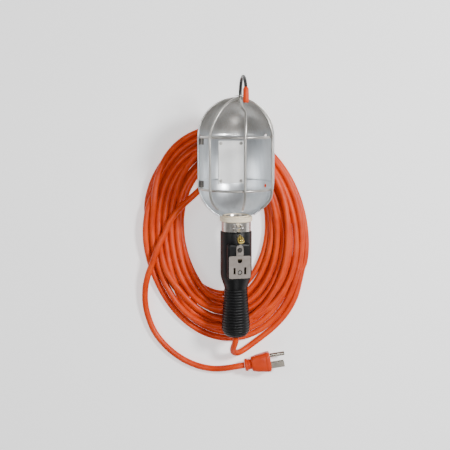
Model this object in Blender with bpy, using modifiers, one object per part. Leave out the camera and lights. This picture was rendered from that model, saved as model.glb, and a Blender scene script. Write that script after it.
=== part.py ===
"""A corded work light: a caged half reflector on a rubber handle, lying on its own coiled cord.

World frame: the floor is z = 0 and the origin lies on it under the grip.
+Y runs from the grip to the hook, +Z up.
Lengths are written in millimetres and turned into metres where objects are made.
The light is modelled upright in its own frame: +Z along its axis to the hook, -Y out of the open front.
"""

import math

import bmesh
import bpy
from mathutils import Matrix, Vector

MM = 0.001
GAP = 0.3

# Where the light lies: its reference plane (bottom of the reflector) and how it leans on the coil
LIGHT_AT = (0.0, 120.5, 56.6)
TILT_DEG = 8.2
GUARD_ROLL_DEG = 8.0
HANDLE_ROLL_DEG = 12.5

# Reflector: half of a capsule
REFLECTOR_R = 44.5
SHEET = 0.8
BOWL_Z = 40.7
DOME_Z = 92.1
VENT_R = 2.3
VENT_ANGLE_DEG = 118.0
VENT_ZS = (33.1, 92.2)

# Guard door wires
WIRE_R = 1.4
RING_R = 42.6
RING_ZS = (32.9, 92.6)
RING_END_DEG = 82.0
MERIDIAN_R = RING_R + 2 * WIRE_R + GAP
MERIDIAN_DEG = {"left": -48.5, "centre": 4.0, "right": 54.5}
CROWN_XY = (3.0, -9.0)
HINGE_XY = (-41.0, -3.6)
PINTLE_LENGTH = 8.0
PINTLE_WAYS = (1, -1)
LUG_R = 3.0
LUG_BORE_R = 1.75

# Hook
HOOK_XY = (5.5, 5.0)
HOOK_WIRE_R = 1.9
HOOK_FOOT_Z = 131.5
HOOK_BEND_Z = 140.5
HOOK_BEND_R = 20.0
HOOK_TIP_Z = 132.2
SLEEVE_R = 3.4
SLEEVE_TOP_DEG = 22.0

# Lamp socket and collar stack
SOCKET_R = 15.0
SOCKET_TOP_Z = 1.4
SOCKET_FLOOR_Z = -16.8
SHELL_R = 13.5
RING_FLANGE_R = 19.1
RING_FLANGE_Z = -5.7
BAND_TOP_Z = -6.2
BAND_LOW_Z = -17.0
BAND_R = 17.3
BAND_SHEET = 0.8
EAR_SCREW_H = 20.8

# Handle
BARREL_R = 18.5
BARREL_TOP_Z = -17.4
BARREL_LOW_Z = -66.0
NECK_R = 13.9
GRIP_END_Z = -144.5
CAVITY_R = 15.4
BOSS_HALF_W = 14.0
BOSS_TOP_Z = -29.5
BOSS_LOW_Z = -73.0
BOSS_FRONT = 18.8

# Receptacle
FACE_HALF_W = 12.75
FACE_TOP_Z = -44.1
FACE_LOW_Z = -70.5
FACE_SHEET = 1.2
STRAP_SCREW_Z = -37.1
SLOT_PITCH = 12.7
SLOT_Z = -61.6
GROUND_Z = SLOT_Z + 11.9
POCKET_DEPTH = 13.0

# Switch
TOGGLE_Z = -21.0
TOGGLE_H = 20.2
TOGGLE_REST_DEG = 42.0
BUSHING_R = 2.6

# Cord, coil and plug
CORD_R = 3.8
COIL_HEIGHT = 20.0
COIL_OUTER = {"centre": (-12.0, 98.0), "half": (101.9, 134.7), "turn_deg": 9.6}
COIL_INNER = {"centre": (-9.9, 106.6), "half": (45.5, 73.0), "turn_deg": -4.0}
PLUG_AT = (11.1, -61.0, 12.2)
PLUG_TURN_DEG = 9.0
PLUG_LENGTH = 32.0
BLADE = (16.0, 6.3, 1.5)
GROUND_PIN_R = 2.4


def empty(name, parent=None, at=(0, 0, 0), turn_deg=(0, 0, 0)):
    """A frame that pieces are parented to."""
    made = bpy.data.objects.new(name, None)
    made.location = Vector(at) * MM
    made.rotation_euler = [math.radians(angle) for angle in turn_deg]
    made.parent = parent
    CUTTERS.objects.link(made)
    return made


def paint(thing, finish):
    """A plain Principled material: colour, roughness and metallic value."""
    colour, roughness, metallic = finish
    material = bpy.data.materials.new(thing.name)
    material.use_nodes = True
    shader = material.node_tree.nodes["Principled BSDF"]
    shader.inputs["Base Color"].default_value = (*colour, 1.0)
    shader.inputs["Roughness"].default_value = roughness
    shader.inputs["Metallic"].default_value = metallic
    thing.data.materials.append(material)


def place(name, data, parent, finish=None, at=(0, 0, 0), turn_deg=(0, 0, 0)):
    """One object in its parent's frame; without a finish it is a cutter."""
    made = bpy.data.objects.new(name, data)
    made.parent = parent
    made.location = Vector(at) * MM
    made.rotation_euler = [math.radians(angle) for angle in turn_deg]
    if finish is None:
        CUTTERS.objects.link(made)
        made.hide_render = True
        made.display_type = "WIRE"
    else:
        PARTS.objects.link(made)
        paint(made, finish)
    return made


def mesh_from(bm, name, smooth=True):
    mesh = bpy.data.meshes.new(name)
    bm.normal_update()
    bm.to_mesh(mesh)
    bm.free()
    if smooth:
        mesh.shade_smooth()
        mesh.set_sharp_from_angle(angle=math.radians(35))
    return mesh


def turned(name, profile, parent, finish=None, steps=32, sweep_deg=360.0, sheet=None, closed=True, **where):
    """A profile of (radius, z) pairs turned about Z, running down the outer side; sheet makes a shell of it."""
    bm = bmesh.new()
    points = [bm.verts.new((radius * MM, 0, z * MM)) for radius, z in profile]
    for first, second in zip(points, points[1:]):
        bm.edges.new((first, second))
    if closed and sheet is None:
        bm.edges.new((points[-1], points[0]))
    made = place(name, mesh_from(bm, name), parent, finish, **where)
    screw = made.modifiers.new("turn", "SCREW")
    screw.angle = math.radians(sweep_deg)
    screw.steps = screw.render_steps = steps
    screw.use_merge_vertices = True
    screw.merge_threshold = 0.00001
    if sheet:
        shell = made.modifiers.new("sheet", "SOLIDIFY")
        shell.thickness = sheet * MM
        shell.offset = -1
    return made


def box(name, low, high, parent, finish=None, bevel=0.0):
    """A block between two corners in its parent's frame, with rounded edges if asked."""
    bm = bmesh.new()
    bmesh.ops.create_cube(bm, size=1.0)
    low, high = Vector(low) * MM, Vector(high) * MM
    bmesh.ops.transform(bm, matrix=Matrix.Diagonal((*(high - low), 1)), verts=bm.verts)
    bmesh.ops.translate(bm, vec=(low + high) / 2, verts=bm.verts)
    made = place(name, mesh_from(bm, name, smooth=False), parent, finish)
    if bevel:
        edge = made.modifiers.new("edges", "BEVEL")
        edge.width = bevel * MM
        edge.segments = 2
    return made


def rod(name, start, end, radius, parent, finish=None, sides=20, end_radius=None):
    """A straight round bar between two points; a second radius makes it a cone."""
    start, end = Vector(start) * MM, Vector(end) * MM
    along = end - start
    bm = bmesh.new()
    bmesh.ops.create_cone(
        bm, cap_ends=True, segments=sides, depth=along.length,
        radius1=radius * MM, radius2=(radius if end_radius is None else end_radius) * MM,
    )
    turn = Vector((0, 0, 1)).rotation_difference(along).to_matrix().to_4x4()
    bmesh.ops.transform(bm, matrix=Matrix.Translation((start + end) / 2) @ turn, verts=bm.verts)
    return place(name, mesh_from(bm, name), parent, finish)


def tube(name, points, radius, parent, finish=None, resolution=2):
    """A round wire along a row of points."""
    curve = bpy.data.curves.new(name, "CURVE")
    curve.dimensions = "3D"
    curve.bevel_depth = radius * MM
    curve.bevel_resolution = resolution
    curve.use_fill_caps = True
    spline = curve.splines.new("POLY")
    spline.points.add(len(points) - 1)
    for target, point in zip(spline.points, points):
        target.co = (*(Vector(point) * MM), 1.0)
    return place(name, curve, parent, finish)


def plate(name, outlines, thickness, parent, finish=None, edge=0.0, **where):
    """A flat plate in its own XY plane: the first outline is its edge, the others are holes."""
    curve = bpy.data.curves.new(name, "CURVE")
    curve.dimensions = "2D"
    curve.fill_mode = "BOTH"
    curve.extrude = (thickness / 2 - edge) * MM
    curve.bevel_depth = edge * MM
    curve.offset = -edge * MM
    curve.bevel_resolution = 1
    for outline in outlines:
        spline = curve.splines.new("POLY")
        spline.points.add(len(outline) - 1)
        spline.use_cyclic_u = True
        for target, (x, y) in zip(spline.points, outline):
            target.co = (x * MM, y * MM, 0.0, 1.0)
    return place(name, curve, parent, finish, **where)


def as_mesh(thing):
    """The same piece with its curve turned into a closed mesh, which a Boolean can take."""
    bpy.context.view_layer.update()
    seen = thing.evaluated_get(bpy.context.evaluated_depsgraph_get())
    mesh = bpy.data.meshes.new_from_object(seen)
    bm = bmesh.new()
    bm.from_mesh(mesh)
    bmesh.ops.remove_doubles(bm, verts=bm.verts, dist=0.000002)
    bm.to_mesh(mesh)
    bm.free()
    name, home = thing.name, thing.users_collection[0]
    made = bpy.data.objects.new(name + "_mesh", mesh)
    made.matrix_world = thing.matrix_world.copy()
    made.hide_render, made.display_type = thing.hide_render, thing.display_type
    home.objects.link(made)
    bpy.data.objects.remove(thing)
    made.name = name
    return made


def combine(thing, tools, operation="DIFFERENCE"):
    for tool in tools:
        change = thing.modifiers.new(tool.name, "BOOLEAN")
        change.operation = operation
        change.object = tool


def smooth_path(points, pieces=4):
    """Points along a smooth curve through hand-chosen ones (centripetal Catmull-Rom)."""
    chain = [Vector(point) for point in points]
    chain = [2 * chain[0] - chain[1], *chain, 2 * chain[-1] - chain[-2]]
    path = []
    for before, first, second, after in zip(chain, chain[1:], chain[2:], chain[3:]):
        knots = [0.0]
        for one, two in ((before, first), (first, second), (second, after)):
            knots.append(knots[-1] + max((two - one).length, 1e-6) ** 0.5)
        for step in range(pieces):
            t = knots[1] + (knots[2] - knots[1]) * step / pieces
            level = [before, first, second, after]
            for depth in (1, 2, 3):
                following = []
                for index in range(len(level) - 1):
                    if depth == 3:
                        start, end = knots[1], knots[2]
                    else:
                        start, end = knots[index], knots[index + depth]
                    share = (t - start) / (end - start)
                    following.append(level[index].lerp(level[index + 1], share))
                level = following
            path.append(level[0])
    path.append(chain[-2])
    return path


def arc(centre, radius, start_deg, end_deg, steps):
    """Flat arc points; angles run from +X towards +Y."""
    angles = [math.radians(start_deg + (end_deg - start_deg) * i / steps) for i in range(steps + 1)]
    return [(centre[0] + radius * math.cos(a), centre[1] + radius * math.sin(a)) for a in angles]


def front_point(angle_deg, radius, z):
    """A point at an angle from the open front towards +X."""
    angle = math.radians(angle_deg)
    return Vector((radius * math.sin(angle), -radius * math.cos(angle), z))


def ellipse(size, steps):
    """An ellipse's points on the floor."""
    turn = math.radians(size["turn_deg"])
    points = []
    for index in range(steps):
        angle = 2 * math.pi * index / steps
        u, v = size["half"][0] * math.cos(angle), size["half"][1] * math.sin(angle)
        x = size["centre"][0] + u * math.cos(turn) - v * math.sin(turn)
        y = size["centre"][1] + u * math.sin(turn) + v * math.cos(turn)
        points.append((x, y))
    return points


# Finishes: colour, roughness, metallic
ZINC = ((0.62, 0.61, 0.58), 0.35, 1.0)
GALVANISED = ((0.50, 0.49, 0.46), 0.45, 1.0)
WHITE = ((0.85, 0.85, 0.83), 0.5, 0.0)
CREAM = ((0.82, 0.71, 0.52), 0.5, 0.0)
BLACK_WIRE = ((0.02, 0.02, 0.02), 0.4, 0.3)
ORANGE = ((0.80, 0.13, 0.03), 0.45, 0.0)
BLACK_RUBBER = ((0.02, 0.02, 0.022), 0.6, 0.0)
PHENOLIC = ((0.04, 0.03, 0.03), 0.4, 0.0)
BRASS = ((0.65, 0.50, 0.20), 0.3, 1.0)
TAN_PLATE = ((0.33, 0.28, 0.25), 0.45, 0.0)
NICKEL = ((0.60, 0.58, 0.55), 0.3, 1.0)
LEAD_BLACK = ((0.02, 0.02, 0.02), 0.5, 0.0)
LEAD_WHITE = ((0.80, 0.80, 0.78), 0.5, 0.0)
LEAD_GREEN = ((0.03, 0.25, 0.08), 0.5, 0.0)


def make_reflector(guard):
    """Half capsule of sheet steel: bowl, wall and dome, with four vent holes and the hook's hole."""
    profile = [arc((0, DOME_Z), REFLECTOR_R, 90, 0, 10), arc((0, BOWL_Z), REFLECTOR_R, 0, -64.5, 7)]
    flange = [(SOCKET_R + 0.6, 0.5)]
    outline = profile[0] + profile[1] + flange
    shell = turned("reflector_shield", outline, guard, GALVANISED, 24, 180.0, sheet=SHEET)
    cutters = []
    for z in VENT_ZS:
        for side in (-1, 1):
            inner = front_point(side * VENT_ANGLE_DEG, REFLECTOR_R - 6, z)
            outer = front_point(side * VENT_ANGLE_DEG, REFLECTOR_R + 6, z)
            cutters.append(rod(f"cut_vent_{side}_{z}", inner, outer, VENT_R, guard, sides=16))
    x, y = HOOK_XY
    top = DOME_Z + REFLECTOR_R
    cutters.append(rod("cut_hook_hole", (x, y, top - 12), (x, y, top + 6), HOOK_WIRE_R + 0.4, guard, sides=16))
    combine(shell, cutters)


def make_reflector_fittings(guard):
    """Fixed to the reflector: the plain plate and rivets, hinge lugs, strap and the hook's washers."""
    inner = REFLECTOR_R - SHEET - 0.8
    turned(
        "rating_plate", [(inner, 85.8), (inner, 34.4)], guard, WHITE, 10, 42.0, sheet=0.5,
        turn_deg=(0, 0, 90 - 21),
    )
    for row, z in (("low", 37.5), ("high", 82.7)):
        for side, angle in (("left", 17.0), ("right", -17.0)):
            back = front_point(180 + angle, inner - 0.8, z)
            face = front_point(180 + angle, inner - 1.7, z)
            rod(f"plate_rivet_{row}_{side}", back, face, 2.0, guard, ZINC, sides=14, end_radius=1.4)

    for name, z, way in zip(("hinge_lug_lower", "hinge_lug_upper"), RING_ZS, PINTLE_WAYS):
        x, y = HINGE_XY
        low, high = sorted((z + way * 2.0, z + way * 9.0))
        knuckle = rod(name, (x, y, low), (x, y, high), LUG_R, guard, ZINC, sides=24)
        leaf = box("join_leaf_" + name, (x - 1.6, y + 1.0, low), (x - 0.5, 6.5, high), guard)
        bore = rod("cut_bore_" + name, (x, y, low - 3), (x, y, high + 3), LUG_BORE_R, guard, sides=24)
        combine(knuckle, [leaf], "UNION")
        combine(knuckle, [bore])

    strap = [(28.6, 6.0), (24.3, 2.8), (19.7, -0.5), (19.5, -5.5), (18.0, -7.5), (18.0, -16.6)]
    strap = [(radius + SHEET, z) for radius, z in strap]
    turned("neck_strap", strap, guard, GALVANISED, 10, 48.0, sheet=SHEET, turn_deg=(0, 0, 90 - 24))

    x, y = HOOK_XY
    top = DOME_Z + REFLECTOR_R
    for name, low, high, radius in (("hook_washer", 0.3, 1.1, 5.0), ("hook_retainer", -4.4, -2.9, 4.4)):
        washer = rod(name, (x, y, top + low), (x, y, top + high), radius, guard, ZINC, sides=24)
        hole = rod("cut_" + name, (x, y, top + low - 2), (x, y, top + high + 2), HOOK_WIRE_R + 0.3, guard, sides=24)
        combine(washer, [hole])


def crown_point():
    """Where the long wires meet, over the dome."""
    x, y = CROWN_XY
    return Vector((x, y, DOME_Z + math.sqrt(MERIDIAN_R**2 - x * x - y * y)))


def meridian(angle_deg):
    """A long wire's path from its free lower end up to the dome's start."""
    foot = [(31.5, 10.0), (36.5, 13.8), (41.2, 18.6), (44.4, 24.5), (MERIDIAN_R, 31.5)]
    path = [front_point(angle_deg, radius, z) for radius, z in foot]
    return path + [front_point(angle_deg, MERIDIAN_R, z) for z in (50.0, 71.0, DOME_Z)]


def over_dome(start, end, steps):
    """Points on the wires' sphere from one point to another, the first left out."""
    centre = Vector((0, 0, DOME_Z))
    one, two = (start - centre).normalized(), (end - centre).normalized()
    return [centre + one.slerp(two, i / steps) * MERIDIAN_R for i in range(1, steps + 1)]


def make_guard_door(guard):
    """The hinged wire cage: two cross rings, one wire down both sides, a centre wire and a latch plate."""
    for name, z, way in zip(("guard_ring_lower", "guard_ring_upper"), RING_ZS, PINTLE_WAYS):
        x, y = HINGE_XY
        pintle = [(0, 0, PINTLE_LENGTH), (0, 0, 1.6), (-0.1, -0.5, 0.4), (-0.5, -1.4, 0)]
        pintle = [(x + across, y + front, z + way * up) for across, front, up in pintle]
        ring = [front_point(-RING_END_DEG + 2 * RING_END_DEG * i / 22, RING_R, z) for i in range(1, 23)]
        tube(name, pintle + ring, WIRE_R, guard, ZINC)

    crown = crown_point()
    left, right = meridian(MERIDIAN_DEG["left"]), meridian(MERIDIAN_DEG["right"])
    over_left = over_dome(left[-1], crown, 9)
    over_right = over_dome(right[-1], crown, 9)[:-1]
    tube("guard_side_wire", left + over_left + over_right[::-1] + right[::-1], WIRE_R, guard, ZINC)

    centre = meridian(MERIDIAN_DEG["centre"])
    kink_low, kink_high = on_wire_sphere(7.5, 120.0), on_wire_sphere(3.1, 126.0)
    end = Vector((2.2, crown.y - 2 * WIRE_R - 0.6, 0))
    end.z = DOME_Z + math.sqrt(MERIDIAN_R**2 - end.x**2 - end.y**2)
    dome = over_dome(centre[-1], kink_low, 5) + over_dome(kink_low, kink_high, 2)
    dome += over_dome(kink_high, end, 4)
    tube("guard_centre_wire", centre + dome, WIRE_R, guard, ZINC)

    x, y = HOOK_XY
    slot = HOOK_WIRE_R + 0.9
    fork = [
        (x - 6.5, y + 3.0), (x - 6.5, -12.0), (x - 4.0, -15.0), (x + 1.0, -15.0), (x + 4.4, -11.0),
        (x + 4.4, y + 2.0), (x + slot, y + 2.0),
    ]
    fork += arc((x, y - 0.5), slot, 0, -180, 8) + [(x - slot, y + 3.0)]
    plate("latch_plate", [fork[::-1]], SHEET, guard, ZINC, at=(0, 0, crown.z + WIRE_R + 0.8))


def on_wire_sphere(angle_deg, z):
    """A point of the long wires' sphere at a height, at an angle from the front."""
    return front_point(angle_deg, math.sqrt(MERIDIAN_R**2 - (z - DOME_Z) ** 2), z)


def make_hook(hook):
    """The swivelling wire hook and its dipped tip; the hook's frame stands on its stem's axis."""
    reach = [(-HOOK_BEND_R + y, z) for y, z in arc((0, HOOK_BEND_Z), HOOK_BEND_R, 0, 180, 18)]
    stem = [(0, 0, HOOK_FOOT_Z), (0, 0, HOOK_BEND_Z - 3)]
    front = -2 * HOOK_BEND_R
    path = stem + [(0, y, z) for y, z in reach]
    tube("swivel_hook", path + [(0, front, HOOK_TIP_Z)], HOOK_WIRE_R, hook, BLACK_WIRE)

    tip = [(-HOOK_BEND_R + y, z) for y, z in arc((0, HOOK_BEND_Z), HOOK_BEND_R, 180 - SLEEVE_TOP_DEG, 180, 5)]
    outer_path = [(0, y, z) for y, z in tip] + [(0, front, HOOK_TIP_Z - 1.3)]
    over = [(-HOOK_BEND_R + y, z) for y, z in arc((0, HOOK_BEND_Z), HOOK_BEND_R, 140, 180, 9)]
    inner_path = [(0, y, z) for y, z in over] + [(0, front, HOOK_TIP_Z - GAP)]
    sleeve = as_mesh(tube("hook_tip_sleeve", outer_path, SLEEVE_R, hook, ORANGE))
    bore = as_mesh(tube("cut_sleeve_bore", inner_path, HOOK_WIRE_R + GAP, hook))
    combine(sleeve, [bore])


def make_socket(handle):
    """The lamp socket and the stack that clamps the guard to it."""
    body = [
        (SOCKET_R, SOCKET_TOP_Z), (SOCKET_R, SOCKET_FLOOR_Z), (0, SOCKET_FLOOR_Z), (0, SOCKET_FLOOR_Z + 2.3),
        (SHELL_R + 0.5, SOCKET_FLOOR_Z + 2.3), (SHELL_R + 0.5, SOCKET_TOP_Z),
    ]
    turned("socket_body", body, handle, CREAM)
    crests = [(SHELL_R - (0.6 if i % 2 else 0.0), SOCKET_TOP_Z - 1.0 - 1.75 * i) for i in range(9)]
    turned("screw_shell", crests, handle, BRASS, 24, sheet=0.35)
    low = SOCKET_FLOOR_Z + 2.3 + GAP
    bends = [(-8, 0, low + 0.7), (-4, 0, low + 1.0), (-1, 0, low + 3.4), (3, 0, low + 4.4)]
    tongue = tube("centre_contact", bends, 0.7, handle, BRASS)
    tongue.scale = (1, 3, 1)

    flange = [
        (RING_FLANGE_R - 0.6, 0.0), (RING_FLANGE_R, -0.6), (RING_FLANGE_R, RING_FLANGE_Z + 0.6),
        (RING_FLANGE_R - 0.6, RING_FLANGE_Z), (SOCKET_R + 1.2, RING_FLANGE_Z), (SOCKET_R + 1.2, BAND_LOW_Z + 0.4),
        (SOCKET_R + 0.4, BAND_LOW_Z + 0.4), (SOCKET_R + 0.4, 0.0),
    ]
    turned("insulating_sleeve", flange, handle, CREAM)


def make_clamp(guard):
    """The split nickel band with its two ears, screw and nut."""
    inside = BAND_R - BAND_SHEET
    ring = [(BAND_R, BAND_TOP_Z), (BAND_R, BAND_LOW_Z), (inside, BAND_LOW_Z), (inside, BAND_TOP_Z)]
    band = turned("clamp_band", ring, guard, NICKEL, 40)
    middle = (BAND_TOP_Z + BAND_LOW_Z) / 2
    split = box("cut_band_split", (-2.2, -BAND_R - 3, BAND_LOW_Z - 3), (2.2, -inside + 3, BAND_TOP_Z + 3), guard)
    combine(band, [split])
    for side in (-1, 1):
        low = (min(side * 2.0, side * 3.0), -24.0, BAND_LOW_Z + 1.6)
        high = (max(side * 2.0, side * 3.0), -inside - 0.1, BAND_TOP_Z - 1.6)
        combine(band, [box(f"join_ear_{side}", low, high, guard)], "UNION")
    combine(band, [rod("cut_ear_holes", (-6, -EAR_SCREW_H, middle), (6, -EAR_SCREW_H, middle), 1.9, guard)])

    head = rod("clamp_screw", (3.3, -EAR_SCREW_H, middle), (5.6, -EAR_SCREW_H, middle), 3.2, guard, ZINC, end_radius=2.6)
    shank = rod("join_clamp_shank", (-7.2, -EAR_SCREW_H, middle), (3.6, -EAR_SCREW_H, middle), 1.5, guard)
    slot = box("cut_clamp_slot", (5.0, -25, middle - 0.4), (6.5, -16, middle + 0.4), guard)
    combine(head, [shank], "UNION")
    combine(head, [slot])
    nut = rod("clamp_nut", (-5.9, -EAR_SCREW_H, middle), (-3.3, -EAR_SCREW_H, middle), 3.3, guard, ZINC, sides=6)
    combine(nut, [rod("cut_nut_bore", (-8, -EAR_SCREW_H, middle), (-1, -EAR_SCREW_H, middle), 1.85, guard)])


def make_handle(handle):
    """The rubber handle: barrel, outlet boss and swelling grip round one long hollow."""
    outer = [
        (0, BARREL_TOP_Z), (BARREL_R - 0.8, BARREL_TOP_Z), (BARREL_R, BARREL_TOP_Z - 0.8), (BARREL_R, BARREL_LOW_Z),
        (18.2, -70.0), (17.1, -75.0), (15.3, -80.0), (NECK_R, -84.5), (14.0, -92.0), (14.7, -103.0), (15.8, -117.0),
        (16.8, -129.0), (16.7, -134.5), (15.4, -139.2), (12.6, -142.6), (8.6, -144.2), (5.6, GRIP_END_Z),
        (0, GRIP_END_Z),
    ]
    body = turned("handle_body", outer, handle, BLACK_RUBBER, closed=False)
    boss = box(
        "join_outlet_boss", (-BOSS_HALF_W, -BOSS_FRONT, BOSS_LOW_Z), (BOSS_HALF_W, -4, BOSS_TOP_Z), handle, bevel=2.5
    )
    hollow = [
        (0, BARREL_TOP_Z + 4), (CAVITY_R, BARREL_TOP_Z + 4), (CAVITY_R, -70.0), (11.0, -77.5),
        (CORD_R + 0.4, -79.0), (CORD_R + 0.4, GRIP_END_Z - 4), (0, GRIP_END_Z - 4),
    ]
    cavity = turned("cut_handle_hollow", hollow, handle, closed=False)
    pocket = box("cut_outlet_pocket", (-11.6, -BOSS_FRONT - 4, FACE_LOW_Z + 1), (11.6, -3.0, FACE_TOP_Z - 1), handle)
    bushing = rod("cut_bushing_hole", (0, -10, TOGGLE_Z), (0, -24, TOGGLE_Z), BUSHING_R + GAP, handle)
    strap_hole = rod("cut_strap_hole", (0, -9, STRAP_SCREW_Z), (0, -24, STRAP_SCREW_Z), 1.8, handle)
    combine(body, [boss], "UNION")
    combine(body, [cavity, pocket, bushing, strap_hole])


def make_switch(handle, toggle):
    """A toggle switch: body, bushing and nut inside the barrel, and the flared brass lever outside."""
    box("switch_body", (-6.4, -13.0, -33.5), (6.4, -1.5, -20.0), handle, PHENOLIC, bevel=0.6)
    bushing = rod("switch_bushing", (0, -13.3, TOGGLE_Z), (0, -19.5, TOGGLE_Z), BUSHING_R, handle, NICKEL)
    combine(bushing, [rod("cut_bushing_bore", (0, -11, TOGGLE_Z), (0, -23, TOGGLE_Z), 2.0, handle)])
    nut = rod("switch_nut", (0, -13.4, TOGGLE_Z), (0, -14.5, TOGGLE_Z), 3.7, handle, NICKEL, sides=6)
    combine(nut, [rod("cut_switch_nut", (0, -10, TOGGLE_Z), (0, -18, TOGGLE_Z), BUSHING_R + 0.2, handle)])

    lever = [
        (0, 9.3), (3.3, 9.3), (3.9, 8.7), (3.8, 7.2), (2.6, 4.0), (1.5, 2.4), (1.3, 0.8), (1.5, 0.0), (1.2, -1.0),
        (0.6, -1.4), (0, -1.4),
    ]
    turned("switch_toggle", lever, toggle, BRASS, 20, closed=False)


def flat_hole(centre, half_w, half_h):
    x, y = centre
    return [(x - half_w, y - half_h), (x + half_w, y - half_h), (x + half_w, y + half_h), (x - half_w, y + half_h)]


def make_receptacle(handle):
    """The outlet in the handle: face, strap, screws, body and its three spring contacts."""
    middle = (FACE_TOP_Z + FACE_LOW_Z) / 2
    half_h = (FACE_TOP_Z - FACE_LOW_Z) / 2
    corner = 1.6
    outline = []
    for x, y, start in ((1, 1, 0), (-1, 1, 90), (-1, -1, 180), (1, -1, 270)):
        centre = (x * (FACE_HALF_W - corner), y * (half_h - corner))
        outline += arc(centre, corner, start, start + 90, 4)
    slot_y, ground_y, screw_y = SLOT_Z - middle, GROUND_Z - middle, SLOT_Z - 1.8 - middle
    holes = [
        flat_hole((-SLOT_PITCH / 2, slot_y), 1.25, 3.7),
        flat_hole((SLOT_PITCH / 2, slot_y), 1.25, 4.2),
        arc((0, ground_y), 2.7, -180, 0, 8) + [(2.7, ground_y + 2.0), (-2.7, ground_y + 2.0)],
        arc((0, screw_y), 2.9, 0, 330, 11),
    ]
    plate(
        "receptacle_face", [outline] + holes, FACE_SHEET, handle, TAN_PLATE,
        at=(0, -BOSS_FRONT - GAP - FACE_SHEET / 2, middle), turn_deg=(90, 0, 0),
    )
    face_front = -BOSS_FRONT - GAP - FACE_SHEET

    strap_low, strap_high = FACE_TOP_Z + 0.4, -31.0
    strap_mid = (strap_low + strap_high) / 2
    half = (strap_high - strap_low) / 2
    strap = [(-4.2, -half), (4.2, -half)] + arc((0, half - 4.2), 4.2, 0, 180, 12)
    screw_hole = arc((0, STRAP_SCREW_Z - strap_mid), 1.8, 0, 330, 11)
    plate(
        "mounting_strap", [strap, screw_hole], 1.0, handle, NICKEL,
        at=(0, -BOSS_FRONT - GAP - 0.5, strap_mid), turn_deg=(90, 0, 0),
    )
    strap_front = -BOSS_FRONT - GAP - 1.0
    head = rod(
        "strap_screw", (0, strap_front - GAP, STRAP_SCREW_Z), (0, strap_front - 1.7, STRAP_SCREW_Z), 2.9,
        handle, NICKEL, end_radius=2.2
    )
    shank = rod("join_strap_shank", (0, -13.0, STRAP_SCREW_Z), (0, strap_front - 0.6, STRAP_SCREW_Z), 1.45, handle)
    combine(head, [shank], "UNION")
    low = (-4, strap_front - 3, STRAP_SCREW_Z - 0.4)
    combine(head, [box("cut_strap_slot", low, (4, strap_front - 1.2, STRAP_SCREW_Z + 0.4), handle)])

    rivet_z = SLOT_Z - 1.8
    rivet = rod(
        "face_rivet", (0, -BOSS_FRONT - 0.2, rivet_z), (0, face_front + 0.1, rivet_z), 2.6, handle, ZINC, end_radius=1.7
    )
    shank = rod("join_rivet_shank", (0, -12.0, rivet_z), (0, face_front + 0.6, rivet_z), 1.1, handle)
    combine(rivet, [shank], "UNION")

    back = -4.2
    body = box(
        "receptacle_body", (-11.2, -BOSS_FRONT + 0.1, FACE_LOW_Z + 1.4), (11.2, back, FACE_TOP_Z - 1.4),
        handle, PHENOLIC, bevel=0.5,
    )
    wells = [
        ("line", -SLOT_PITCH / 2, SLOT_Z, 2.3, 4.7), ("neutral", SLOT_PITCH / 2, SLOT_Z, 2.3, 4.7),
        ("ground", 0.0, GROUND_Z, 3.3, 3.3),
    ]
    for name, x, z, half_w, half_h in wells:
        cut = box(
            "cut_well_" + name, (x - half_w, -BOSS_FRONT - 3, z - half_h),
            (x + half_w, -BOSS_FRONT + POCKET_DEPTH, z + half_h), handle,
        )
        combine(body, [cut])
        clip = box(
            "contact_" + name, (x - half_w + GAP, -BOSS_FRONT + 2.0, z - half_h + 0.8),
            (x + half_w - GAP, -BOSS_FRONT + POCKET_DEPTH - GAP, z + half_h - 0.8), handle, BRASS,
        )
        throat = box(
            "cut_clip_" + name, (x - half_w + GAP + 0.6, -BOSS_FRONT - 2, z - half_h - 1),
            (x + half_w - GAP - 0.6, -BOSS_FRONT + POCKET_DEPTH - 1.2, z + half_h + 1), handle,
        )
        combine(clip, [throat])
    combine(body, [rod("cut_rivet_well", (0, -10.5, rivet_z), (0, -24, rivet_z), 1.5, handle)])


def make_wiring(handle):
    """Inside the handle: the sheathed cord, its clamp, and the leads to switch, socket and outlet."""
    tube("cord_in_handle", [(0, 0, z) for z in (GRIP_END_Z + 0.5, -112.0, -80.0, -69.0)], CORD_R, handle, ORANGE)
    clamp = rod("cord_clamp", (0, 0, -76.2), (0, 0, -71.8), 8.5, handle, ZINC, sides=8)
    combine(clamp, [rod("cut_cord_clamp", (0, 0, -80), (0, 0, -68), CORD_R + GAP, handle)])

    leads = {
        "lead_line": (LEAD_BLACK, [
            (-1.8, 0, -68.0), (-3, 4, -64), (-7, 6, -56), (-7, 5, -44), (-4, -2, -38), (-3, -6, -34.7),
        ]),
        "lead_neutral": (LEAD_WHITE, [
            (1.8, 0, -68.0), (4, 4, -64), (9, 6, -56), (9.5, 6, -36), (8, 7, -24), (5, 7, -17.9),
        ]),
        "lead_ground": (LEAD_GREEN, [
            (0, 2.2, -68.0), (0, 6, -64), (0.5, 8.5, -57), (0.5, 5, -50.5), (0, -3.9, -49.5),
        ]),
        "lead_switched": (LEAD_BLACK, [(-3, -1.2, -29), (-4, 3, -28), (-6, 6.5, -24), (-5, 7, -17.9)]),
    }
    for name, (finish, route) in leads.items():
        tube(name, smooth_path(route, 3), 1.0, handle, finish)


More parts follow.
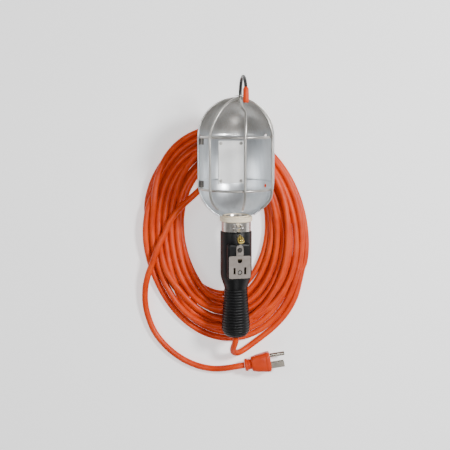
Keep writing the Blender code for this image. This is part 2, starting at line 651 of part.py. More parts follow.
def lead_route():
    """The cord from the grip's end, down off the handle and round to the coil's side."""
    tilt = math.radians(TILT_DEG)
    along = Vector((0, math.cos(tilt), math.sin(tilt)))
    mouth = Vector(LIGHT_AT) + along * (GRIP_END_Z - 0.1)
    start = [mouth, mouth - along * 5.0]
    falling = [
        (-1.6, -33.5, 32.0), (-3.2, -39.5, 26.5), (-1.8, -44.5, 19.8), (3.2, -46.6, 13.6), (10.5, -44.6, 8.6),
        (19.0, -40.2, 5.3), (28.7, -35.0, 4.1), (38.0, -30.0, 3.9), (46.4, -24.6, 3.9),
    ]
    return start + [Vector(point) for point in falling]


def tail_route():
    """The cord from the top of the coil, over its edge and along the floor to the plug."""
    return [Vector(point) for point in (
        (-43.0, 142.5, 24.5), (-57.0, 133.0, 24.5), (-70.0, 122.5, 24.5), (-80.5, 109.5, 24.5), (-89.0, 94.0, 24.5),
        (-96.0, 78.0, 24.6), (-102.0, 62.0, 24.6), (-107.5, 47.0, 21.8), (-110.5, 32.0, 13.6), (-110.8, 16.0, 6.8),
        (-108.0, 0.0, 4.1), (-101.0, -18.5, 3.9), (-91.0, -33.0, 3.9), (-77.0, -46.5, 3.9), (-61.0, -57.0, 3.9),
        (-44.0, -63.8, 3.9), (-27.0, -66.6, 4.9), (-13.0, -65.4, 8.6), (-3.5, -63.6, 11.3),
    )]


def make_cord(plug):
    """The free cord: lead, coil and tail, and the moulded plug."""
    tube("cord_lead", smooth_path(lead_route(), 3), CORD_R, None, ORANGE)
    plate(
        "cord_coil", [ellipse(COIL_OUTER, 56), ellipse(COIL_INNER, 40)], COIL_HEIGHT, None, ORANGE,
        edge=3.0, at=(0, 0, COIL_HEIGHT / 2),
    )
    turn = math.radians(PLUG_TURN_DEG)
    forward = Vector((math.cos(turn), math.sin(turn), 0))
    rear = Vector(PLUG_AT) - forward * GAP
    tube("cord_tail", smooth_path(tail_route() + [rear - forward * 5.0, rear], 2), CORD_R, None, ORANGE)

    length = PLUG_LENGTH
    body = [
        (0, length), (10.6, length), (12.0, length - 1.4), (12.0, length - 5.0), (11.2, length - 14.0), (9.6, 10.5),
        (8.6, 8.6), (6.4, 7.6), (6.2, 4.6), (7.4, 4.2), (7.6, 1.0), (7.0, 0.0), (0, 0.0),
    ]
    shell = turned("plug_body", body, plug, ORANGE, 28, closed=False, turn_deg=(0, 90, 0))
    long, wide, thick = BLADE
    for name, side in (("blade_line", -1), ("blade_neutral", 1)):
        z = side * SLOT_PITCH / 2
        low = (length - 3.0, -5.0 - wide / 2, z - thick / 2)
        high = (length + long, -5.0 + wide / 2, z + thick / 2)
        box(name, low, high, plug, BRASS)
        margin = Vector((GAP, GAP, GAP))
        combine(shell, [box("cut_" + name, Vector(low) - margin, Vector((length + 3, *high[1:])) + margin, plug)])
    pin_y = -5.0 + 11.9
    rod("ground_pin", (length - 3.0, pin_y, 0), (length + long + 2.0, pin_y, 0), GROUND_PIN_R, plug, BRASS)
    well_low, well_high = (length - 3.3, pin_y, 0), (length + 4, pin_y, 0)
    combine(shell, [rod("cut_ground_pin", well_low, well_high, GROUND_PIN_R + GAP, plug)])


for old in list(bpy.data.objects):
    bpy.data.objects.remove(old)
PARTS = bpy.data.collections.new("work_light")
CUTTERS = bpy.data.collections.new("cutters")
for collection in (PARTS, CUTTERS):
    bpy.context.scene.collection.children.link(collection)

light_axis = empty("light_axis", None, LIGHT_AT, (TILT_DEG - 90, 0, 0))
guard_frame = empty("guard_frame", light_axis, turn_deg=(0, 0, GUARD_ROLL_DEG))
handle_frame = empty("handle_frame", light_axis, turn_deg=(0, 0, HANDLE_ROLL_DEG))
door_hinge = empty("door_hinge", guard_frame, (*HINGE_XY, 0))
door_frame = empty("door_frame", door_hinge, (-HINGE_XY[0], -HINGE_XY[1], 0))
hook_frame = empty("hook_frame", guard_frame, (*HOOK_XY, 0))
toggle_frame = empty("toggle_frame", handle_frame, (0, -TOGGLE_H, TOGGLE_Z), (90 + TOGGLE_REST_DEG, 0, 0))
plug_frame = empty("plug_frame", None, PLUG_AT, (0, 0, PLUG_TURN_DEG))

make_reflector(guard_frame)
make_reflector_fittings(guard_frame)
make_guard_door(door_frame)
make_hook(hook_frame)
make_socket(handle_frame)
make_clamp(guard_frame)
make_handle(handle_frame)
make_switch(handle_frame, toggle_frame)
make_receptacle(handle_frame)
make_wiring(handle_frame)
make_cord(plug_frame)
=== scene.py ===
"""Looks of the caged work light: the cord's turns, smooth wires, ribbed rubber and all materials."""
import math

import bmesh
import bpy
import numpy as np
from mathutils import Matrix, Vector


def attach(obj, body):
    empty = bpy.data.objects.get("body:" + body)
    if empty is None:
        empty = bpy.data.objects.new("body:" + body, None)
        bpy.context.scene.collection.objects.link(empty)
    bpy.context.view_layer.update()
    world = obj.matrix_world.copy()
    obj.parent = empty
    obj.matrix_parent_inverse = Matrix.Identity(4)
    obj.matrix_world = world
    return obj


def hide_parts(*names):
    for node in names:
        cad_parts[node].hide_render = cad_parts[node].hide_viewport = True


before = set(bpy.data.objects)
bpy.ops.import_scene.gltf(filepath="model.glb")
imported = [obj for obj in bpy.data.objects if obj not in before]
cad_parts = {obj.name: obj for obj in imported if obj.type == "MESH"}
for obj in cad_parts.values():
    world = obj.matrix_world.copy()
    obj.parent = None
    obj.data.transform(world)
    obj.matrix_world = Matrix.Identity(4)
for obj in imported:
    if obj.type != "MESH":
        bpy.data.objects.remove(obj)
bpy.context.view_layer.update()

MM = 0.001
SMOOTH_DEG = 40  # an edge sharper than this stays sharp in the shading

# The light's own frame, as it lies in CAD: +Z along its axis to the hook, -Y out of the open front
LIGHT_AT = Vector((0.0, 120.5, 56.6))
TILT_DEG = 8.2
LIGHT_FRAME = Matrix.Translation(LIGHT_AT * MM) @ Matrix.Rotation(math.radians(TILT_DEG - 90), 4, "X")
GUARD_ROLL_DEG = 8.0
HANDLE_ROLL_DEG = 12.5
GUARD_FRAME = LIGHT_FRAME @ Matrix.Rotation(math.radians(GUARD_ROLL_DEG), 4, "Z")
HANDLE_FRAME = LIGHT_FRAME @ Matrix.Rotation(math.radians(HANDLE_ROLL_DEG), 4, "Z")

# ---------------------------------------------------------------- camera

CAMERA_AT = (-12.9, 110.0, 1050.0)
CAMERA_LENS = 68.0


def make_camera():
    """Straight above the floor, looking down, with the hook end up."""
    data = bpy.data.cameras.new("camera")
    data.lens = CAMERA_LENS
    data.sensor_width = 36.0
    camera = bpy.data.objects.new("camera", data)
    camera.location = Vector(CAMERA_AT) * MM
    bpy.context.scene.collection.objects.link(camera)
    bpy.context.scene.camera = camera


make_camera()

# ---------------------------------------------------------------- small makers


def link(name, data, matrix=None):
    """One object in the scene, with its frame brought into its own points."""
    if matrix is not None:
        data.transform(matrix)
    made = bpy.data.objects.new(name, data)
    bpy.context.scene.collection.objects.link(made)
    return made


def catmull(points, pieces):
    """A smooth row of points through the given ones."""
    chain = [Vector(point) for point in points]
    chain = [2 * chain[0] - chain[1], *chain, 2 * chain[-1] - chain[-2]]
    path = []
    for before, first, second, after in zip(chain, chain[1:], chain[2:], chain[3:]):
        for step in range(pieces):
            t = step / pieces
            path.append(0.5 * (
                2 * first + (second - before) * t
                + (2 * before - 5 * first + 4 * second - after) * t**2
                + (3 * first - before - 3 * second + after) * t**3
            ))
    path.append(chain[-2])
    return path


def wire(name, points, radius, matrix=None, resolution=5, radii=None):
    """A round wire along a row of points in millimetres, as a curve of one open spline."""
    curve = bpy.data.curves.new(name, "CURVE")
    curve.dimensions = "3D"
    curve.bevel_depth = 1.0  # a unit tube, which each point's radius brings to its real thickness
    curve.bevel_resolution = resolution
    curve.use_fill_caps = True
    spline = curve.splines.new("POLY")
    spline.points.add(len(points) - 1)
    for index, (target, point) in enumerate(zip(spline.points, points)):
        target.co = (*(Vector(point) * MM), 1.0)
        target.radius = radius * MM * (radii[index] if radii else 1.0)
    spline.use_smooth = True
    return link(name, curve, matrix)


def revolve(name, profile, steps, matrix, sweep_deg=360.0, closed=False):
    """A (radius, z) profile in millimetres turned about Z, running down the outer side."""
    bm = bmesh.new()
    rows = []
    full = sweep_deg >= 360.0
    for step in range(steps if full else steps + 1):
        angle = math.radians(sweep_deg * step / steps)
        across = Vector((math.cos(angle), math.sin(angle), 0)) * MM
        rows.append([
            bm.verts.new(across * radius + Vector((0, 0, z * MM))) for radius, z in profile
        ])
    count = len(profile)
    for one in range(steps):
        first, second = rows[one], rows[(one + 1) % len(rows)]
        for index in range(count if closed else count - 1):
            after = (index + 1) % count
            bm.faces.new((first[index], first[after], second[after], second[index]))
    bmesh.ops.remove_doubles(bm, verts=bm.verts, dist=1e-7)
    bmesh.ops.recalc_face_normals(bm, faces=bm.faces)
    mesh = bpy.data.meshes.new(name)
    bm.to_mesh(mesh)
    bm.free()
    mesh.shade_smooth()
    mesh.set_sharp_from_angle(angle=math.radians(SMOOTH_DEG))
    return link(name, mesh, matrix)


def block(name, low, high, matrix, bevel=0.0, segments=3):
    """A box between two corners in millimetres, with rounded edges if asked."""
    bm = bmesh.new()
    bmesh.ops.create_cube(bm, size=1.0)
    low, high = Vector(low) * MM, Vector(high) * MM
    bmesh.ops.transform(bm, matrix=Matrix.Diagonal((*(high - low), 1)), verts=bm.verts)
    bmesh.ops.translate(bm, vec=(low + high) / 2, verts=bm.verts)
    if bevel:
        bmesh.ops.bevel(
            bm, geom=bm.edges, offset=bevel * MM, segments=segments, affect="EDGES", profile=0.5
        )
    mesh = bpy.data.meshes.new(name)
    bm.to_mesh(mesh)
    bm.free()
    mesh.shade_smooth()
    mesh.set_sharp_from_angle(angle=math.radians(SMOOTH_DEG))
    return link(name, mesh, matrix)


def bar(name, start, end, radius, matrix):
    """A straight round rod between two points in millimetres."""
    start, end = Vector(start) * MM, Vector(end) * MM
    bm = bmesh.new()
    bmesh.ops.create_cone(
        bm, cap_ends=True, segments=32, depth=(end - start).length, radius1=radius * MM, radius2=radius * MM
    )
    turn = Vector((0, 0, 1)).rotation_difference(end - start).to_matrix().to_4x4()
    place = Matrix.Translation((start + end) / 2) @ turn
    bmesh.ops.transform(bm, matrix=place, verts=bm.verts)
    mesh = bpy.data.meshes.new(name)
    bm.to_mesh(mesh)
    bm.free()
    return link(name, mesh, matrix)


def cut(thing, tools, operation="DIFFERENCE"):
    """Booleans applied to the mesh at once, so that no cutter is left."""
    for tool in tools:
        change = thing.modifiers.new("cut", "BOOLEAN")
        change.operation = operation
        change.object = tool
    bpy.context.view_layer.update()
    seen = thing.evaluated_get(bpy.context.evaluated_depsgraph_get())
    mesh = bpy.data.meshes.new_from_object(seen)
    thing.modifiers.clear()
    thing.data = mesh
    for tool in tools:
        bpy.data.objects.remove(tool)
    mesh.shade_smooth()
    mesh.set_sharp_from_angle(angle=math.radians(35))


def arc(centre, radius, start_deg, end_deg, steps):
    """Points of a flat arc, as pairs."""
    sweep = end_deg - start_deg
    angles = [math.radians(start_deg + sweep * i / steps) for i in range(steps + 1)]
    return [(centre[0] + radius * math.cos(a), centre[1] + radius * math.sin(a)) for a in angles]


def front_point(angle_deg, radius, z):
    """A point at an angle from the open front towards +X, in the light's own frame."""
    angle = math.radians(angle_deg)
    return Vector((radius * math.sin(angle), -radius * math.cos(angle), z))


# ---------------------------------------------------------------- the cord

CORD_R = 3.8
COIL_HEIGHT = 20.0
COIL_OUTER = {"centre": (-12.0, 98.0), "half": (101.9, 134.7), "turn_deg": 9.6}
COIL_INNER = {"centre": (-9.9, 106.6), "half": (45.5, 73.0), "turn_deg": -4.0}
COIL_START_DEG = -25.0
COIL_END_DEG = 103.0
COIL_WHOLE_TURNS = 12
POINTS_PER_TURN = 84
CORD_SEED = 19
LAYER_RISE = 6.4
POINT_SPACING = 6.5
SETTLE_STEPS = 420
SINK_PER_STEP = 0.10
FLOOR_GAP = 0.1
GRIP_END = -144.6
PLUG_AT = Vector((11.1, -61.0, 12.2))
PLUG_TURN = math.radians(9.0)


def along_light():
    """The light's axis in the shared frame, towards the hook."""
    tilt = math.radians(TILT_DEG)
    return Vector((0, math.cos(tilt), math.sin(tilt)))


def lead_route():
    """The cord from the grip's end, down off the handle and round to the coil's side."""
    mouth = LIGHT_AT + along_light() * GRIP_END
    falling = [
        (-1.6, -33.5, 32.0), (-3.2, -39.5, 26.5), (-2.2, -44.0, 19.8), (2.6, -45.8, 13.4),
        (9.6, -43.2, 8.4), (18.0, -37.8, 5.0), (26.6, -31.6, 4.0), (34.8, -25.4, 3.9),
        (42.8, -19.0, 3.9), (50.4, -12.0, 3.9), (57.5, -4.4, 3.9), (63.9, 3.9, 3.9),
        (69.3, 12.9, 3.9), (73.7, 22.6, 3.9), (77.1, 32.8, 3.9),
    ]
    return [mouth, mouth - along_light() * 5.0] + [Vector(point) for point in falling]


def tail_route():
    """The cord from the top of the coil, over its edge and along the floor to the plug."""
    forward = Vector((math.cos(PLUG_TURN), math.sin(PLUG_TURN), 0))
    lying = [Vector(point) for point in (
        (-25.0, 163.0, 19.0), (-33.5, 152.0, 22.5), (-43.0, 142.5, 24.5), (-57.0, 133.0, 24.5),
        (-70.0, 122.5, 24.5), (-80.5, 109.5, 24.5), (-89.0, 94.0, 24.5), (-96.0, 78.0, 24.6),
        (-102.0, 62.0, 24.6), (-107.5, 47.0, 21.8), (-110.5, 32.0, 13.6), (-110.8, 16.0, 6.8),
        (-108.0, 0.0, 4.1), (-101.0, -18.5, 3.9), (-91.0, -33.0, 3.9), (-77.0, -46.5, 3.9),
        (-61.0, -57.0, 3.9), (-44.0, -63.8, 3.9), (-27.0, -66.6, 4.9), (-13.0, -65.4, 8.6),
        (-3.5, -63.6, 11.3),
    )]
    return lying + [PLUG_AT - forward * 5.3, PLUG_AT - forward * 0.3]


def on_ellipse(size, angle):
    """Places on one of the coil's turned ellipses, one row for each angle."""
    turn = math.radians(size["turn_deg"])
    u, v = size["half"][0] * np.cos(angle), size["half"][1] * np.sin(angle)
    x = size["centre"][0] + u * math.cos(turn) - v * math.sin(turn)
    y = size["centre"][1] + u * math.sin(turn) + v * math.cos(turn)
    return np.stack([x, y], axis=-1)


def coil_points(rng):
    """Turns as laid by hand: each wanders across the band, in rising layers."""
    sweep = 360.0 * COIL_WHOLE_TURNS + COIL_END_DEG - COIL_START_DEG
    count = int(POINTS_PER_TURN * sweep / 360.0)
    share = np.linspace(0, 1, count)
    angle = np.radians(COIL_START_DEG + sweep * share)
    turn = share * sweep / 360.0
    lanes = [0.97, 0.82, 0.64, 0.47, 0.30, 0.10, 0.20, 0.40, 0.56, 0.74, 0.90, 0.62, 0.34, 0.30]
    layer = [0.0, 0.0, 0.0, 0.0, 0.0, 0.0, 1.0, 1.0, 1.0, 1.0, 1.0, 2.0, 2.0, 2.1]
    knots = np.arange(0, len(lanes), 0.25)
    lane = np.interp(knots, np.arange(len(lanes)), lanes)
    lane[4:-4] += rng.uniform(-0.2, 0.2, len(lane) - 8)
    lane = np.clip(lane, 0.0, 1.0)
    across = np.interp(turn, knots, lane)
    kernel = np.hanning(49)
    padded = np.pad(across, 24, mode="edge")
    across = np.convolve(padded, kernel / kernel.sum(), mode="valid")
    inner, outer = on_ellipse(COIL_INNER, angle), on_ellipse(COIL_OUTER, angle)
    thickness = np.linalg.norm(outer - inner, axis=1)
    margin = (CORD_R + 0.4) / thickness
    across = margin + across * (1 - 2 * margin)
    flat = inner + (outer - inner) * across[:, None]
    height = CORD_R + LAYER_RISE * np.interp(turn, np.arange(len(layer)), layer)
    return np.column_stack([flat, height])


# How far the light reaches from its axis, by the place along it
WALL_ALONG = [-146, -144, -139, -129, -84, -80, -66, -18, 0, 15, 30, 41, 92, 110, 125, 134]
WALL_RADII = [0, 12, 16.4, 17.9, 14.5, 16, 19.2, 19.2, 19.5, 38.0, 44.2, 45.6, 45.6, 42.0, 32.0, 18.0]


def keep_clear_of_light(points):
    """Pushes points off the reflector's back and the grip's underside."""
    axis = np.array(along_light())
    start = np.array(LIGHT_AT)
    offset = points - start
    along = offset @ axis
    radial = offset - np.outer(along, axis)
    distance = np.maximum(np.linalg.norm(radial, axis=1), 1e-6)
    wall = np.interp(along, WALL_ALONG, WALL_RADII)
    wall = np.where((along < WALL_ALONG[0]) | (along > WALL_ALONG[-1]), 0, wall + CORD_R)
    push = np.maximum(wall - distance, 0)
    return points + radial / distance[:, None] * push[:, None]


def band_side(points, size, sign, limit):
    """Keeps points outside (sign 1) or inside (sign -1) an ellipse by a margin."""
    turn = math.radians(size["turn_deg"])
    local = points[:, :2] - np.array(size["centre"])
    u = local[:, 0] * math.cos(turn) + local[:, 1] * math.sin(turn)
    v = -local[:, 0] * math.sin(turn) + local[:, 1] * math.cos(turn)
    half = np.array(size["half"]) + sign * limit
    ratio = np.hypot(u / half[0], v / half[1])
    scale = np.where(sign * (1 - ratio) > 0, 1 / np.maximum(ratio, 1e-6), 1.0)
    points[:, :2] = np.array(size["centre"]) + local * scale[:, None]


def settle(points, coil, steps):
    """Lets the cord sink onto the floor and itself, with strands kept one diameter apart.

    The bending terms hold the plan view that it starts with, and the heights relax.
    """
    total = len(points)
    rest = np.linalg.norm(np.diff(points, axis=0), axis=1)
    shape = points.copy()
    shape[1:-1] = (points[:-2] + points[2:]) / 2 - points[1:-1]
    shape[:, 2] = 0
    sweep = np.zeros_like(points)
    sweep[4:-4] = (points[:-8] + points[8:]) / 2 - points[4:-4]
    sweep[:, 2] = 0
    diameter = 2 * CORD_R + 0.05
    pinned = np.zeros(total, bool)
    pinned[:coil.start] = True
    pinned[-14:] = True
    home = points.copy()
    laid = slice(coil.stop + 12, total)
    one = two = None
    for step in range(steps):
        if step % 10 == 0:
            between = np.linalg.norm(points[:, None, :] - points[None, :-1, :], axis=2)
            near = between < 3.2 * CORD_R + 4
            index = np.arange(total)
            apart = np.abs(index[:, None] - index[None, :-1])
            one, two = np.nonzero(near & (apart > 5))
        points[:, 2] -= SINK_PER_STEP
        bend = np.zeros_like(points)
        bend[1:-1] = (points[:-2] + points[2:]) / 2 - points[1:-1] - shape[1:-1]
        wide = np.zeros_like(points)
        wide[4:-4] = (points[:-8] + points[8:]) / 2 - points[4:-4] - sweep[4:-4]
        points += 0.35 * bend + 0.12 * wide
        for _ in range(2):
            span = np.diff(points, axis=0)
            length = np.linalg.norm(span, axis=1)
            fix = span * ((length - rest) / length * 0.25)[:, None]
            points[:-1] += fix
            points[1:] -= fix
        for _ in range(2):
            base, along = points[two], points[two + 1] - points[two]
            share = np.clip(((points[one] - base) * along).sum(1) / (along**2).sum(1), 0, 1)
            gap = points[one] - (base + along * share[:, None])
            distance = np.maximum(np.linalg.norm(gap, axis=1), 1e-6)
            over = np.maximum(diameter - distance, 0)
            push = gap / distance[:, None] * (0.25 * over)[:, None]
            move = np.zeros_like(points)
            np.add.at(move, one, push)
            np.add.at(move, two, -push * (1 - share)[:, None])
            np.add.at(move, two + 1, -push * share[:, None])
            points += move
        part = points[coil]
        band_side(part, COIL_OUTER, -1, CORD_R + 0.2)
        band_side(part, COIL_INNER, 1, CORD_R + 0.2)
        part[:, 2] = np.minimum(part[:, 2], COIL_HEIGHT + 4.0 - CORD_R)
        points[coil] = part
        points = keep_clear_of_light(points)
        points[:, 2] = np.maximum(points[:, 2], CORD_R + FLOOR_GAP)
        points[pinned] = home[pinned]
        points[laid, :2] = home[laid, :2]
    return points


def make_cord():
    """The whole cord, from the grip through its turns to the plug, as one curve."""
    rng = np.random.default_rng(CORD_SEED)
    lead = np.array([tuple(point) for point in catmull(lead_route(), 3)])
    turns = coil_points(rng)
    tail = np.array([tuple(point) for point in catmull(tail_route(), 3)])
    raw = np.vstack([lead[:-1], turns, tail[1:]])
    spans = np.r_[0, np.cumsum(np.linalg.norm(np.diff(raw, axis=0), axis=1))]
    even = np.linspace(0, spans[-1], int(spans[-1] / POINT_SPACING))
    points = np.column_stack([np.interp(even, spans, raw[:, axis]) for axis in range(3)])
    first = int(np.searchsorted(even, spans[len(lead) - 1]))
    last = int(np.searchsorted(even, spans[len(lead) - 1 + len(turns)]))
    points = settle(points, slice(first, last), SETTLE_STEPS)
    smooth = catmull([tuple(point) for point in points], 2)
    return wire("cord", smooth, CORD_R, resolution=4)


cord = make_cord()

# ---------------------------------------------------------------- plug

PLUG_FRAME = (
    Matrix.Translation(PLUG_AT * MM) @ Matrix.Rotation(PLUG_TURN, 4, "Z")
    @ Matrix.Rotation(math.radians(90), 4, "Y")
)
PLUG_LENGTH = 32.0
# The middles of the two blades' wells, on the plug's face
BLADE_ROOM = ((-5.0, -6.35), (-5.0, 6.35))


def make_plug():
    """Moulded plug: ringed strain relief, narrow neck and flared body with a stepped face."""
    body = [(0, PLUG_LENGTH), (9.6, PLUG_LENGTH), (10.8, PLUG_LENGTH - 0.3), (11.7, PLUG_LENGTH - 1.2)]
    body += [(12.0, PLUG_LENGTH - 2.2), (12.0, PLUG_LENGTH - 5.0), (11.75, PLUG_LENGTH - 5.4)]
    body += [(11.7, PLUG_LENGTH - 5.9), (11.75, PLUG_LENGTH - 6.3), (11.0, 21.0), (10.2, 15.6), (9.4, 11.0)]
    body += [(9.1, 9.4), (8.6, 8.7), (6.7, 8.2), (6.2, 7.2), (6.2, 5.6), (6.6, 5.3), (6.6, 4.8), (6.1, 4.5)]
    body += [(6.1, 4.1), (7.0, 3.9), (7.6, 3.3), (7.7, 2.0), (7.4, 0.6), (6.6, 0.05), (4.2, 0.0), (0, 0.0)]
    plug = revolve("plug_shell", body, 96, None)
    for vertex in plug.data.vertices:
        x, y, z = vertex.co / MM
        up_body = min(max((z - 8.5) / 4.0, 0.0), 1.0)
        off_axis = min(max((math.hypot(x, y) - 1.0) / 3.0, 0.0), 1.0)
        angle = math.atan2(y, x)
        square = 1.0 / (abs(math.cos(angle)) ** 4 + abs(math.sin(angle)) ** 4) ** 0.25
        factor = 1.0 + (square - 1.0) * up_body * off_axis
        vertex.co.x, vertex.co.y = vertex.co.x * factor, vertex.co.y * factor
    plug.data.transform(PLUG_FRAME)
    low, high = PLUG_LENGTH - 3.4, PLUG_LENGTH + 3
    wells = [
        block("well", (-z - 1.1, y - 3.5, low), (-z + 1.1, y + 3.5, high), PLUG_FRAME)
        for y, z in BLADE_ROOM
    ]
    wells.append(bar("well", (0, 6.9, low), (0, 6.9, high), 2.75, PLUG_FRAME))
    cut(plug, wells)
    return plug


plug = make_plug()
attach(plug, "light")
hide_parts("plug_body")
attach(cord, "light")
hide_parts("cord_lead", "cord_coil", "cord_tail")

# ---------------------------------------------------------------- reflector

REFLECTOR_R = 44.5
SHEET = 0.8
BOWL_Z = 40.7
DOME_Z = 92.1
VENT_ZS = (33.1, 92.2)
VENT_ANGLE_DEG = 118.0
HOOK_XY = (5.5, 5.0)
FLANGE = (15.6, 0.5)


def crease(z, side):
    """A shallow pressed bead round the reflector where wall meets dome or bowl."""
    return [
        (REFLECTOR_R - 0.02, z + side * 1.6), (REFLECTOR_R - 0.5, z + 0.7 * side),
        (REFLECTOR_R - 0.5, z - 0.4 * side), (REFLECTOR_R, z - 1.4 * side),
    ]


def make_reflector():
    """The pressed half capsule with its thickness, creases, vents and rolled rim."""
    dome = arc((0, DOME_Z), REFLECTOR_R, 90, 3, 40)
    bowl = arc((0, BOWL_Z), REFLECTOR_R, -3, -64.5, 28)
    outer = dome + crease(DOME_Z, 1) + crease(BOWL_Z, -1)[::-1] + bowl + [FLANGE]
    shell = revolve("reflector", outer, 128, GUARD_FRAME, sweep_deg=180.0)
    sheet = shell.modifiers.new("sheet", "SOLIDIFY")
    sheet.thickness = SHEET * MM
    sheet.offset = -1
    cutters = []
    for z in VENT_ZS:
        for side in (-1, 1):
            inner = front_point(side * VENT_ANGLE_DEG, REFLECTOR_R - 6, z)
            outer_end = front_point(side * VENT_ANGLE_DEG, REFLECTOR_R + 6, z)
            cutters.append(bar("vent", inner, outer_end, 2.3, GUARD_FRAME))
    x, y = HOOK_XY
    top = DOME_Z + REFLECTOR_R
    cutters.append(bar("hole", (x, y, top - 12), (x, y, top + 6), 2.3, GUARD_FRAME))
    cut(shell, cutters)
    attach(shell, "light")
    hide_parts("reflector_shield")

    edge = [(radius - SHEET / 2, z) for radius, z in arc((0, BOWL_Z), REFLECTOR_R, -62, 0, 24)]
    edge += [(radius - SHEET / 2, z) for radius, z in arc((0, DOME_Z), REFLECTOR_R, 0, 90, 30)]
    path = [(-radius, -0.35, z) for radius, z in edge]
    path += [(radius, -0.35, z) for radius, z in edge[::-1][1:]]
    rim = wire("reflector_rim", path, 0.95, GUARD_FRAME, resolution=4)
    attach(rim, "light")
    return shell, rim


reflector, rim = make_reflector()

# ---------------------------------------------------------------- guard door

WIRE_R = 1.4
RING_R = 42.6
RING_ZS = (32.9, 92.6)
RING_END_DEG = 82.0
MERIDIAN_R = RING_R + 2 * WIRE_R + 0.3
MERIDIAN_DEG = {"left": -48.5, "centre": 4.0, "right": 54.5}
CROWN_XY = (3.0, -9.0)
HINGE_XY = (-41.0, -3.6)


def on_wire_sphere(angle_deg, z):
    """A point on the sphere over which the long wires bend, at a height."""
    return front_point(angle_deg, math.sqrt(MERIDIAN_R**2 - (z - DOME_Z) ** 2), z)


def meridian(angle_deg):
    """A long wire's route from its free foot up the cage to the dome."""
    foot = [(31.5, 10.0), (36.5, 13.8), (41.2, 18.6), (44.4, 24.5), (MERIDIAN_R, 31.5)]
    path = [front_point(angle_deg, radius, z) for radius, z in foot]
    straight = (40.0, 50.0, 60.0, 71.0, 82.0, DOME_Z)
    return path + [front_point(angle_deg, MERIDIAN_R, z) for z in straight]


def over_dome(start, end, steps):
    """Points over the dome after the first, by the shortest way."""
    centre = Vector((0, 0, DOME_Z))
    one, two = (start - centre).normalized(), (end - centre).normalized()
    return [centre + one.slerp(two, i / steps) * MERIDIAN_R for i in range(1, steps + 1)]


def dome_point(x, y):
    """The point of the dome above a place."""
    return Vector((x, y, DOME_Z + math.sqrt(MERIDIAN_R**2 - x * x - y * y)))


def make_door():
    """Smooth wires with rounded free ends, and the weld nuggets that join them."""
    made = []
    for name, z, way in zip(("guard_ring_lower", "guard_ring_upper"), RING_ZS, (1, -1)):
        x, y = HINGE_XY
        pintle = [(0, 0, 8.0), (0, 0, 4.5), (0, 0, 1.7), (-0.1, -0.5, 0.5), (-0.5, -1.4, 0)]
        path = [Vector((x + across, y + front, z + way * up)) for across, front, up in pintle]
        path += [
            front_point(-RING_END_DEG + 2 * RING_END_DEG * i / 30, RING_R, z) for i in range(1, 31)
        ]
        made.append((name, path))
    crown = dome_point(*CROWN_XY)
    left, right = meridian(MERIDIAN_DEG["left"]), meridian(MERIDIAN_DEG["right"])
    over_right = over_dome(right[-1], crown, 9)[:-1]
    side = left + over_dome(left[-1], crown, 9) + over_right[::-1] + right[::-1]
    made.append(("guard_side_wire", side))
    centre = meridian(MERIDIAN_DEG["centre"])
    low, high = on_wire_sphere(7.5, 120.0), on_wire_sphere(3.1, 126.0)
    end = dome_point(2.2, crown.y - 2 * WIRE_R - 0.6)
    dome = over_dome(centre[-1], low, 5) + over_dome(low, high, 2) + over_dome(high, end, 4)
    made.append(("guard_centre_wire", centre + dome))
    wires = []
    for name, path in made:
        smooth = catmull(path, 4)
        radii = [1.0] * len(smooth)
        for index, share in enumerate((0.45, 0.8, 0.95)):
            radii[index] = radii[-1 - index] = share
        piece = wire(name + "_bent", smooth, WIRE_R, GUARD_FRAME, resolution=5, radii=radii)
        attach(piece, "guard_door")
        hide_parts(name)
        wires.append(piece)

    bm = bmesh.new()
    spots = [
        front_point(angle, (RING_R + MERIDIAN_R) / 2, z)
        for angle in MERIDIAN_DEG.values() for z in RING_ZS
    ]
    spots.append(dome_point((CROWN_XY[0] + 2.2) / 2, CROWN_XY[1] - WIRE_R - 0.3))
    for spot in spots:
        at = Matrix.Translation(spot * MM) @ Matrix.Diagonal((1.5 * MM, 1.5 * MM, 1.5 * MM, 1))
        bmesh.ops.create_icosphere(bm, subdivisions=3, radius=1.0, matrix=at)
    mesh = bpy.data.meshes.new("guard_welds")
    bm.to_mesh(mesh)
    bm.free()
    mesh.shade_smooth()
    welds = link("guard_welds", mesh, GUARD_FRAME)
    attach(welds, "guard_door")
    return wires + [welds]


door = make_door()

# ---------------------------------------------------------------- hook

HOOK_WIRE_R = 1.9
HOOK_BEND_Z = 140.5
HOOK_BEND_R = 20.0
HOOK_TIP_Z = 132.2
SLEEVE_R = 3.4


def make_hook():
    """The bent black wire and its dipped vinyl tip with a soft rounded end."""
    matrix = GUARD_FRAME @ Matrix.Translation(Vector((*HOOK_XY, 0)) * MM)
    bend = [(0, y - HOOK_BEND_R, z) for y, z in arc((0, HOOK_BEND_Z), HOOK_BEND_R, 0, 180, 40)]
    stem = [(0, 0, 131.5), (0, 0, 134.0), (0, 0, 137.5)]
    front = -2 * HOOK_BEND_R
    tail = [(0, front, HOOK_TIP_Z + 4), (0, front, HOOK_TIP_Z)]
    hook = wire("hook_wire", stem + bend + tail, HOOK_WIRE_R, matrix, 6)
    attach(hook, "hook")
    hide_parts("swivel_hook")
    tip = [(0, y - HOOK_BEND_R, z) for y, z in arc((0, HOOK_BEND_Z), HOOK_BEND_R, 158, 180, 8)]
    path = tip + [(0, front, z) for z in (138.5, 136.5, 134.5, 132.8, 131.8, 131.2, 130.95)]
    radii = [0.66, 0.86, 0.95, 0.97, 0.97, 0.97, 0.98, 0.98]
    radii += [0.99, 0.99, 1.0, 1.0, 0.99, 0.9, 0.68, 0.3]
    sleeve = wire("hook_tip", path, SLEEVE_R, matrix, 6, radii)
    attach(sleeve, "hook")
    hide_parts("hook_tip_sleeve")
    return hook, sleeve


hook, hook_tip = make_hook()

# ---------------------------------------------------------------- handle

